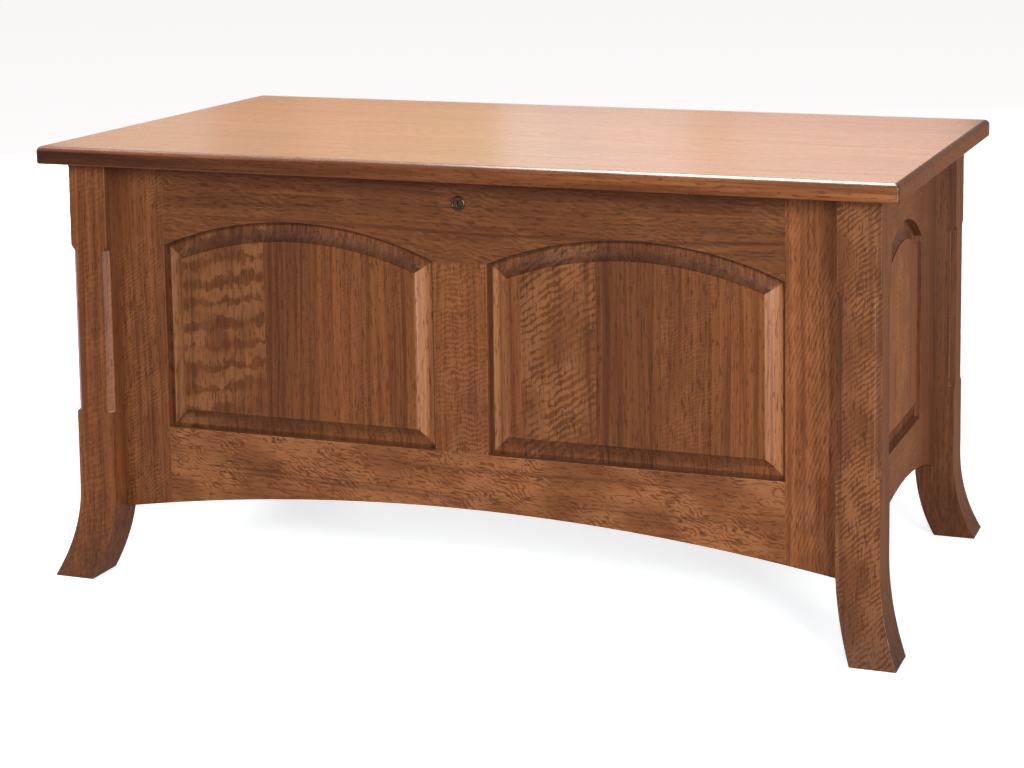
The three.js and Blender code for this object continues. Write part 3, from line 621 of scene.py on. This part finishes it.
build_bottom()


# Turned shapes and screws

TURN_STEPS = 32


def turned(profile):
    """A solid about +Z through [radius, height] points, from the axis at its foot to the axis at its head."""
    bm = bmesh.new()
    rings = []
    for radius, height in profile:
        if radius == 0:
            rings.append([bm.verts.new((0, 0, height))])
            continue
        angles = [2 * math.pi * i / TURN_STEPS for i in range(TURN_STEPS)]
        rings.append([bm.verts.new((radius * math.cos(a), radius * math.sin(a), height)) for a in angles])
    for lower, upper in zip(rings, rings[1:]):
        for i in range(TURN_STEPS):
            j = (i + 1) % TURN_STEPS
            foot = [lower[i % len(lower)], lower[j % len(lower)]]
            head = [upper[j % len(upper)], upper[i % len(upper)]]
            bm.faces.new(list(dict.fromkeys(foot + head)))
    bm.normal_update()
    return bm


def carve(piece, cutter):
    """Cuts one piece with another, which is then removed."""
    modifier = piece.modifiers.new("cut", "BOOLEAN")
    modifier.operation = "DIFFERENCE"
    modifier.solver = "EXACT"
    modifier.object = cutter
    settle(piece)
    bpy.data.objects.remove(cutter)


def facing(place, direction):
    """A matrix that moves +Z onto a direction, at a place."""
    turn = Vector(direction).to_track_quat("Z", "Y").to_matrix().to_4x4()
    return Matrix.Translation(place) @ turn


# Screws: the head, its cone's foot and face as shares of the radius, and its cross recess
SCREW_RADIUS = 3.4 * MM
CONE_FOOT = 0.5
CONE_FACE = 0.97
SINK_DEPTH = 1.7 * MM
CROSS_DEPTH = 1.3 * MM
CROSS_WIDTH = 0.9 * MM
CROSS_REACH = 2.1 * MM
CROSS_TAPER = 0.45
SUNK_RIM = 0.15 * MM
DOME_RIM = 0.5 * MM
DOME_HEIGHT = 1.9 * MM
DOME_STEPS = 6
HOLE_PLAY = 0.15 * MM
HEAD_BELOW = 0.12 * MM


def screw_mesh(name, profile, head):
    """A screw's head with a cross recess, its face at z 0 or above."""
    piece = place_mesh(turned(profile), name)
    for turn in (0, math.pi / 2):
        bm = bmesh.new()
        bmesh.ops.create_cube(bm, size=1)
        for vert in bm.verts:
            reach = CROSS_REACH if vert.co.z > 0 else CROSS_REACH * CROSS_TAPER
            height = head + (CROSS_DEPTH if vert.co.z > 0 else -CROSS_DEPTH)
            vert.co = Vector((vert.co.x * 2 * reach, vert.co.y * CROSS_WIDTH, height))
        bm.transform(Matrix.Rotation(turn, 4, "Z"))
        carve(piece, place_mesh(bm, f"{name}_cross"))
    piece.data.shade_smooth()
    piece.data.set_sharp_from_angle(angle=SHARP)
    mesh = piece.data
    bpy.data.objects.remove(piece)
    return mesh


SUNK_PROFILE = [
    (0, -SINK_DEPTH), (SCREW_RADIUS * CONE_FOOT, -SINK_DEPTH), (SCREW_RADIUS, -SUNK_RIM),
    (SCREW_RADIUS * CONE_FACE, 0), (0, 0),
]
DOME_PROFILE = [(0, 0), (SCREW_RADIUS, 0)] + [
    (SCREW_RADIUS * math.cos(a), DOME_RIM + (DOME_HEIGHT - DOME_RIM) * math.sin(a))
    for a in (math.pi / 2 * i / DOME_STEPS for i in range(DOME_STEPS))
] + [(0, DOME_HEIGHT)]
SUNK_SCREW = screw_mesh("sunk_screw", SUNK_PROFILE, 0)
DOME_SCREW = screw_mesh("dome_screw", DOME_PROFILE, DOME_HEIGHT)
for screw, slot_name in ((SUNK_SCREW, "hinge_brass"), (DOME_SCREW, "plated_steel")):
    screw.materials.clear()
    screw.materials.append(METAL[slot_name])


def add_screw(name, mesh, body, place, direction, turn):
    piece = bpy.data.objects.new(name, mesh)
    bpy.context.scene.collection.objects.link(piece)
    piece.matrix_world = facing(place, direction) @ Matrix.Rotation(turn, 4, "Z")
    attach(piece, body)


# Metal pieces

def metal_piece(node, width=METAL_EASE):
    bm = solid_copy(node)
    mark_edges(bm, [])
    piece = place_mesh(bm, f"{node}_metal")
    ease(piece, width)
    dress(piece, node, METAL[SLOT_OF[node]])
    return piece


# A leaf's screws, by their places along it and across it from its middle
HINGE_SCREWS = ((-26 * MM, 2 * MM), (0, -3 * MM), (26 * MM, 2 * MM))
PIN_EASE = 0.6 * MM


def build_hinge(place):
    """One butt hinge: two leaves with three sunk screws each, and the pin."""
    rng = random.Random(f"hinge {place}")
    metal_piece(f"hinge_{place}_pin", PIN_EASE)
    for side, up in (("body", 1), ("lid", -1)):
        node = f"hinge_{place}_{side}_leaf"
        low, high = BOX[node]
        pin_y = sum(corner.y for corner in BOX[f"hinge_{place}_pin"]) / 2
        knuckle = high.y - pin_y
        leaf_back = pin_y - knuckle
        body_top, lid_foot = BOX["front_top_rail"][1].z, BOX["lid_top"][0].z
        face = body_top if up > 0 else lid_foot
        piece = metal_piece(node)
        middle = Vector(((low.x + high.x) / 2, (low.y + leaf_back) / 2, face))
        holes = bmesh.new()
        places = [middle + Vector((dx, dy, 0)) for dx, dy in HINGE_SCREWS]
        for spot in places:
            rim = SCREW_RADIUS + HOLE_PLAY
            bore = rim * CONE_FOOT
            depth = 2 * SINK_DEPTH
            hole = turned([(0, -depth), (bore, -depth), (bore, -SINK_DEPTH), (rim, 0), (rim, MM), (0, MM)])
            hole.transform(facing(spot, (0, 0, up)))
            mesh = bpy.data.meshes.new("hole")
            hole.to_mesh(mesh)
            hole.free()
            holes.from_mesh(mesh)
            bpy.data.meshes.remove(mesh)
        carve(piece, place_mesh(holes, "hinge_holes"))
        for i, spot in enumerate(places):
            sunk = spot - Vector((0, 0, up * HEAD_BELOW))
            add_screw(f"hinge_{place}_{side}_screw_{i + 1}", SUNK_SCREW, BODY_OF[node],
                      sunk, (0, 0, up), rng.uniform(0, math.pi / 2))


for hinge in ("left", "middle", "right"):
    build_hinge(hinge)

PLATE_SCREW_RISE = 24 * MM
PLATE_THICKNESS = 3 * MM
BRACKET_SCREW_REACH = 19 * MM
BRACKET_SCREW_IN = 8.5 * MM
BRACKET_THICKNESS = 2.5 * MM
SUPPORT_EASE = 0.4 * MM
SUPPORT_SCREW_TURN = 1.5


def build_support(side, sign):
    """A lid support, with dome screws in its housing's plate and its lid bracket."""
    rng = random.Random(f"support {side}")
    for part in ("housing", "crank", "link", "lid_bracket"):
        metal_piece(f"support_{side}_{part}", SUPPORT_EASE)
    low, high = BOX[f"support_{side}_housing"]
    wall_x = high.x if sign > 0 else low.x
    face_x = wall_x - sign * PLATE_THICKNESS
    for i, up in enumerate((-1, 1)):
        place = (face_x, (low.y + high.y) / 2, (low.z + high.z) / 2 + up * PLATE_SCREW_RISE)
        add_screw(f"support_{side}_housing_screw_{i + 1}", DOME_SCREW, BODY_OF[f"support_{side}_housing"],
                  place, (-sign, 0, 0), rng.uniform(0, SUPPORT_SCREW_TURN))
    low, high = BOX[f"support_{side}_lid_bracket"]
    inner_x = low.x if sign > 0 else high.x
    foot = high.z - BRACKET_THICKNESS
    for i, way in enumerate((-1, 1)):
        place = (inner_x + sign * BRACKET_SCREW_IN, (low.y + high.y) / 2 + way * BRACKET_SCREW_REACH, foot)
        add_screw(f"support_{side}_bracket_screw_{i + 1}", DOME_SCREW, BODY_OF[f"support_{side}_lid_bracket"],
                  place, (0, 0, -1), rng.uniform(0, SUPPORT_SCREW_TURN))


build_support("left", -1)
build_support("right", 1)

LOCK_EASES = {"housing": 0.3 * MM, "nut": 0.4 * MM, "plug": 0.2 * MM, "cam": 0.3 * MM, "strike": 0.3 * MM}
STRIKE_SCREWS = (9 * MM, 20 * MM)
STRIKE_LENGTH = 27 * MM
STRIKE_THICKNESS = 2 * MM
STRIKE_SCREW_TURN = 0.4
CAM_SCREW_TURN = 0.3


def build_lock():
    """The round lock with its nut and cam, and the strike under the lid with two screws."""
    for part, width in LOCK_EASES.items():
        metal_piece(f"lock_{part}", width)
    low, high = BOX["lock_strike"]
    for i, reach in enumerate(STRIKE_SCREWS):
        place = ((low.x + high.x) / 2, high.y - STRIKE_LENGTH + reach, high.z - STRIKE_THICKNESS)
        add_screw(f"strike_screw_{i + 1}", DOME_SCREW, BODY_OF["lock_strike"],
                  place, (0, 0, -1), STRIKE_SCREW_TURN + i)
    low, high = BOX["lock_plug"]
    place = (0, high.y, (low.z + high.z) / 2)
    add_screw("cam_screw", DOME_SCREW, BODY_OF["lock_cam"], place, (0, 1, 0), CAM_SCREW_TURN)


build_lock()


# Studio: pale floor, soft lights and the photograph's camera

FLOOR_SIZE = 120
FLOOR_DROP = 0.2 * MM
FLOOR_GLOW = 0.63
CARD_SIZE = 8
CARD_MIDDLE = (4.65, 4.0)
CARD_GLOW = 1.0


def stage_plane(name, size, colour, roughness, glow, glow_strength):
    material = Shader(f"{name}_surface").finish(
        Base_Color=colour, Roughness=roughness, Specular_IOR_Level=0.0,
        Emission_Color=glow, Emission_Strength=glow_strength,
    )
    bm = bmesh.new()
    bmesh.ops.create_grid(bm, x_segments=1, y_segments=1, size=size / 2)
    piece = place_mesh(bm, name)
    piece.data.materials.append(material)
    piece.visible_diffuse = False
    return piece


def build_floor():
    """The floor, and a brown card on it at the chest's right that only the lacquer mirrors."""
    floor = stage_plane("floor", FLOOR_SIZE, (0.82, 0.93, 0.97, 1), 0.7, (0.9, 0.97, 1.0, 1), FLOOR_GLOW)
    floor.location.z = -FLOOR_DROP
    floor.visible_glossy = False
    card = stage_plane("brown_card", CARD_SIZE, (0.03, 0.02, 0.015, 1), 0.9, (0.4, 0.2, 0.12, 1), CARD_GLOW)
    card.location = (*CARD_MIDDLE, FLOOR_DROP)
    card.visible_camera = False
    card.visible_shadow = False


def add_light(name, kind, place, target, power, colour, **settings):
    data = bpy.data.lights.new(name, kind)
    data.energy = power
    data.color = colour
    for key, value in settings.items():
        setattr(data, key, value)
    light = bpy.data.objects.new(name, data)
    bpy.context.scene.collection.objects.link(light)
    light.matrix_world = facing(place, Vector(place) - Vector(target))
    light.visible_camera = False
    return light


# Soft lights around the chest: place, width and height, power, colour, and whether the lacquer mirrors them
CHEST_MIDDLE = (0, -0.2, 0.35)
SOFTBOXES = {
    "key": ((3.1, -3.3, 1.6), (1.2, 1.2), 135, (1.0, 0.97, 0.93), True),
    "left": ((-2.2, -4.2, 1.8), (1.2, 1.2), 64, (1.0, 0.95, 0.9), False),
    "front": ((1.0, -5.0, 2.2), (2.0, 1.5), 98, (0.93, 0.97, 1.0), False),
    "low": ((1.6, -2.0, 0.15), (1.95, 0.28), 10, (1.0, 0.8, 0.68), True),
    "back": ((-2.9, 3.4, 1.1), (2.0, 1.2), 130, (1.0, 0.97, 0.93), False),
}

# A wall of light behind the chest that only the lacquer mirrors: panels by their ends along X and colours
SHEEN_Y, SHEEN_MIDDLE, SHEEN_HEIGHT = 5.0, 2.4, 2.4
SHEEN_POWER = 10.9
SHEEN_START = -4.18
SHEEN = [
    (-3.37, (0.9, 0.6, 0.39)), (-2.96, (0.74, 0.4, 0.18)), (-2.43, (0.92, 0.52, 0.26)),
    (-2.09, (0.9, 0.54, 0.24)), (-1.89, (1.14, 0.88, 0.68)), (-1.67, (1.08, 0.81, 0.66)),
    (-1.31, (1.17, 0.83, 0.64)), (-1.11, (1.04, 0.63, 0.37)), (-0.21, (1.14, 0.75, 0.56)),
]

# More lights that only the lacquer mirrors, by place, target, width and height, power and colour: two
# overhead draw a line along the lid's rounded front edge, one at the left shines on the slopes that face it,
# and one above the front shines on the panels' arched tops
GLINTS = [
    ((-0.7, 0.7, 4.5), (-0.7, 0.7, 0), (1.5, 4.5), 560, (1.0, 0.95, 0.93)),
    ((-3.1, 0.7, 4.5), (-3.1, 0.7, 0), (0.7, 4.5), 40, (1.0, 0.82, 0.88)),
    ((-4.0, 0.5, -0.1), (0, 0.5, -0.1), (5.0, 2.4), 26, (1.08, 0.82, 0.9)),
    ((-1.9, -3.3, 2.6), (-0.1, -0.3, 0.5), (1.2, 0.8), 2.4, (0.75, 0.72, 1.0)),
]

# A warm sky that fills the shadows, and a wide sun overhead that the lacquer doesn't mirror
SKY_COLOUR = (1.0, 0.62, 0.5, 1)
SKY_STRENGTH = 0.33
SUN_PLACE = (0.1, -0.4, 2)
SUN_POWER = 0.4
SUN_COLOUR = (0.95, 0.98, 1)
SUN_ANGLE = math.radians(110)


def add_softbox(name, place, target, size, power, colour, diffuse=True, glossy=True):
    shape = {"shape": "RECTANGLE", "size": size[0], "size_y": size[1]}
    light = add_light(name, "AREA", place, target, power, colour, **shape)
    light.visible_diffuse = diffuse
    light.visible_glossy = glossy


def build_lights():
    world = bpy.data.worlds.new("studio")
    bpy.context.scene.world = world
    world.use_nodes = True
    sky = world.node_tree.nodes["Background"]
    sky.inputs["Color"].default_value = SKY_COLOUR
    sky.inputs["Strength"].default_value = SKY_STRENGTH
    sun = add_light("overhead", "SUN", SUN_PLACE, (0, 0, 0), SUN_POWER, SUN_COLOUR, angle=SUN_ANGLE)
    sun.visible_glossy = False
    for name, (place, size, power, colour, glossy) in SOFTBOXES.items():
        add_softbox(name, place, CHEST_MIDDLE, size, power, colour, glossy=glossy)
    start = SHEEN_START
    for end, colour in SHEEN:
        middle, width = (start + end) / 2, end - start
        add_softbox("sheen", (middle, SHEEN_Y, SHEEN_MIDDLE), (middle, 0, SHEEN_MIDDLE),
                    (width, SHEEN_HEIGHT), SHEEN_POWER * width, colour, diffuse=False)
        start = end
    for place, target, size, power, colour in GLINTS:
        add_softbox("glint", place, target, size, power, colour, diffuse=False)


def build_camera():
    data = bpy.data.cameras.new("camera")
    data.sensor_fit = "HORIZONTAL"
    data.sensor_width = SENSOR_WIDTH
    data.lens = FOCAL_PIXELS * SENSOR_WIDTH / PHOTO_WIDTH
    data.shift_x = (PHOTO_WIDTH / 2 - CENTRE_X) / PHOTO_WIDTH
    data.shift_y = (CENTRE_Y - PHOTO_HEIGHT / 2) / PHOTO_WIDTH
    camera = bpy.data.objects.new("camera", data)
    bpy.context.scene.collection.objects.link(camera)
    bpy.context.scene.camera = camera
    sin, cos = math.sin, math.cos
    reach = cos(CAMERA_PITCH)
    forward = Vector((sin(CAMERA_YAW) * reach, cos(CAMERA_YAW) * reach, sin(CAMERA_PITCH)))
    level = Vector((cos(CAMERA_YAW), -sin(CAMERA_YAW), 0))
    upright = level.cross(forward)
    right = cos(CAMERA_ROLL) * level + sin(CAMERA_ROLL) * upright
    up = cos(CAMERA_ROLL) * upright - sin(CAMERA_ROLL) * level
    turn = Matrix((right, up, -forward)).transposed().to_4x4()
    camera.matrix_world = Matrix.Translation(CAMERA_PLACE) @ turn


build_floor()
build_lights()
build_camera()
bpy.context.scene.view_settings.view_transform = "Standard"
